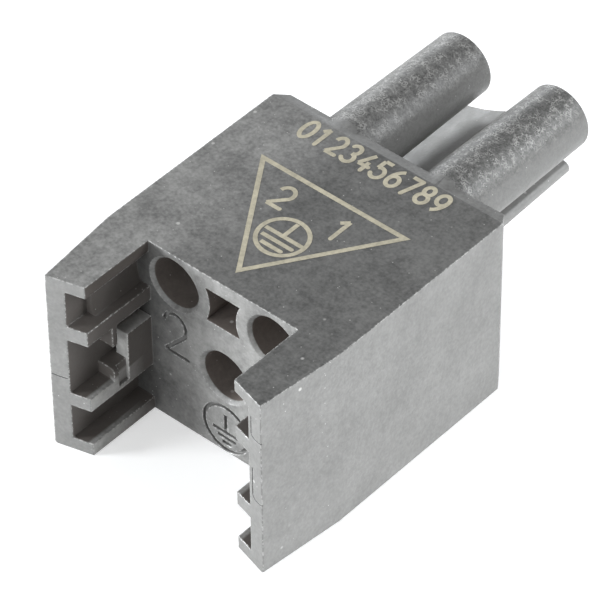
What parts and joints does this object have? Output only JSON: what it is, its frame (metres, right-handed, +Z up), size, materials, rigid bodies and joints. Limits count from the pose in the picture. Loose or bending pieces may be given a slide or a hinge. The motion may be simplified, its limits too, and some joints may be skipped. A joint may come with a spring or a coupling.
{
  "type": "connector contact insert",
  "caption": "Moulded contact insert of a push-pull power connector: block with ribbed cheeks and latch seats, stepped contact cavities, mating tubes and a partition.",
  "frame": {"origin": "on the bottom face, midway across the wall that the contacts are pushed through", "axes": "+Y towards the mating tubes, +Z up from the bottom face, +X across the insert"},
  "size_m": [0.0238, 0.0432, 0.018],
  "materials": {
    "insert_plastic": "dark grey glass-filled plastic, fine spark-eroded grain"
  },
  "bodies": {
    "root": {"contact_insert": "insert_plastic"}
  },
  "joints": []
}
